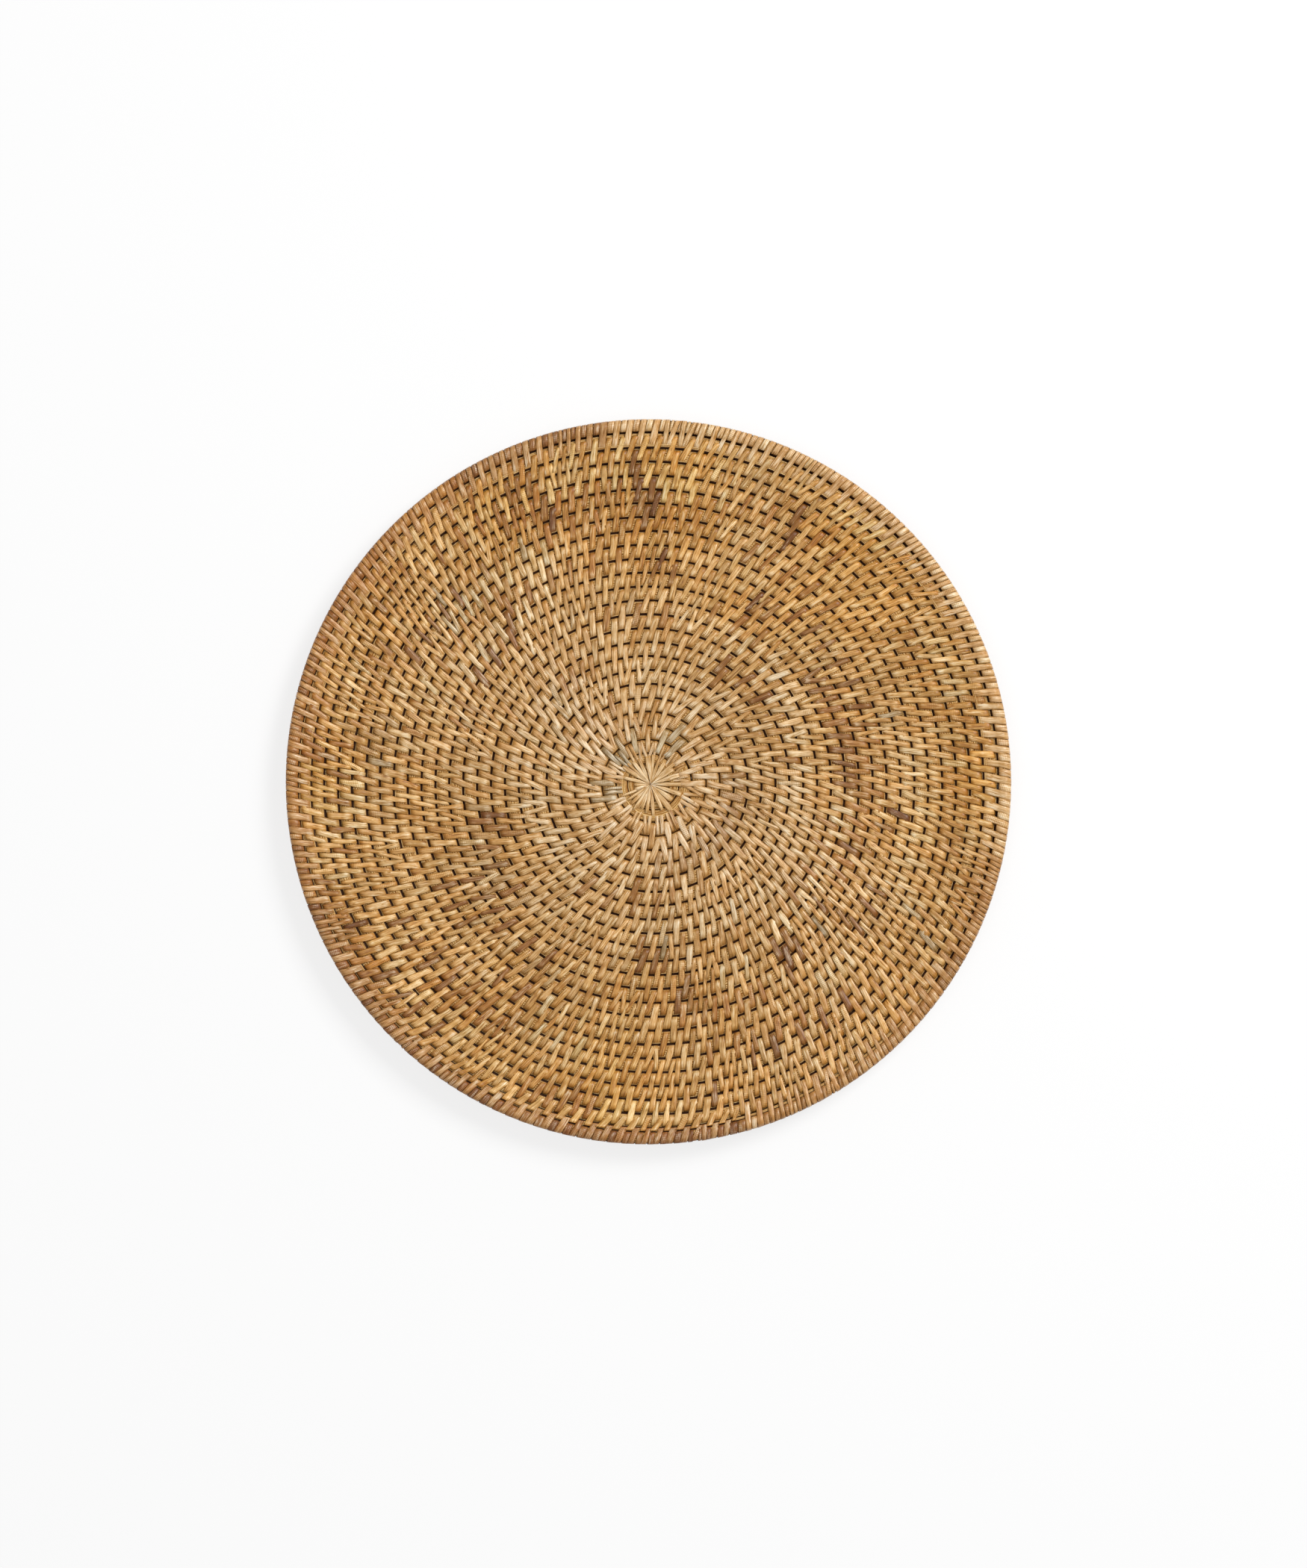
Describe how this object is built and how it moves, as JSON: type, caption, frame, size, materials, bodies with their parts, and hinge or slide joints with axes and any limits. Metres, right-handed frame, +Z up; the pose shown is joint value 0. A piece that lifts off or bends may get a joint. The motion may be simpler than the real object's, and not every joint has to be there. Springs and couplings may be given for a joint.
{
  "type": "coiled basket tray",
  "caption": "Round shallow winnowing basket or tray, coiled from a spiral bundle of rattan splints sewn with leaning peel strips, with a lashed rim hoop.",
  "frame": {"origin": "on the surface that the basket rests on, under the middle of the rim hoop", "axes": "+Z up out of the dish; +X and +Y to the right and up in the plan view of the picture"},
  "size_m": [0.4004, 0.4004, 0.0188],
  "materials": {
    "peel": "split rattan peel, satin, naturally uneven in colour",
    "splint": "bundle of fine rattan splints, matt",
    "peel_straw": "split rattan peel, straw",
    "peel_umber": "split rattan peel, umber",
    "peel_orange": "split rattan peel, orange brown",
    "peel_brown": "split rattan peel, dark brown",
    "peel_tan": "split rattan peel, tan"
  },
  "bodies": {
    "root": {"foundation_tail": "splint", "foundation_turn_01": "splint", "foundation_turn_02": "splint", "foundation_turn_03": "splint", "foundation_turn_04": "splint", "foundation_turn_05": "splint", "foundation_turn_06": "splint", "foundation_turn_07": "splint", "foundation_turn_08": "splint", "foundation_turn_09": "splint", "foundation_turn_10": "splint", "foundation_turn_11": "splint", "foundation_turn_12": "splint", "foundation_turn_13": "splint", "foundation_turn_14": "splint", "foundation_turn_15": "splint", "foundation_turn_16": "splint", "foundation_turn_17": "splint", "foundation_turn_18": "splint", "foundation_turn_19": "splint", "foundation_turn_20": "splint", "foundation_turn_21": "splint", "foundation_turn_22": "splint", "foundation_turn_23": "splint", "rim_hoop": "splint", "rim_lashing_brown": "peel_brown", "rim_lashing_orange": "peel_orange", "rim_lashing_straw": "peel_straw", "rim_lashing_tan": "peel_tan", "rim_lashing_umber": "peel_umber", "star_strips": "peel", "start_coil": "splint", "stitches_rim": "peel", "stitches_tail": "peel", "stitches_turn_02": "peel", "stitches_turn_03": "peel", "stitches_turn_04": "peel", "stitches_turn_05": "peel", "stitches_turn_06": "peel", "stitches_turn_07": "peel", "stitches_turn_08": "peel", "stitches_turn_09": "peel", "stitches_turn_10": "peel", "stitches_turn_11": "peel", "stitches_turn_12": "peel", "stitches_turn_13": "peel", "stitches_turn_14": "peel", "stitches_turn_15": "peel", "stitches_turn_16": "peel", "stitches_turn_17": "peel", "stitches_turn_18": "peel", "stitches_turn_19": "peel", "stitches_turn_20": "peel", "stitches_turn_21": "peel", "stitches_turn_22": "peel", "stitches_turn_23": "peel"}
  },
  "joints": []
}
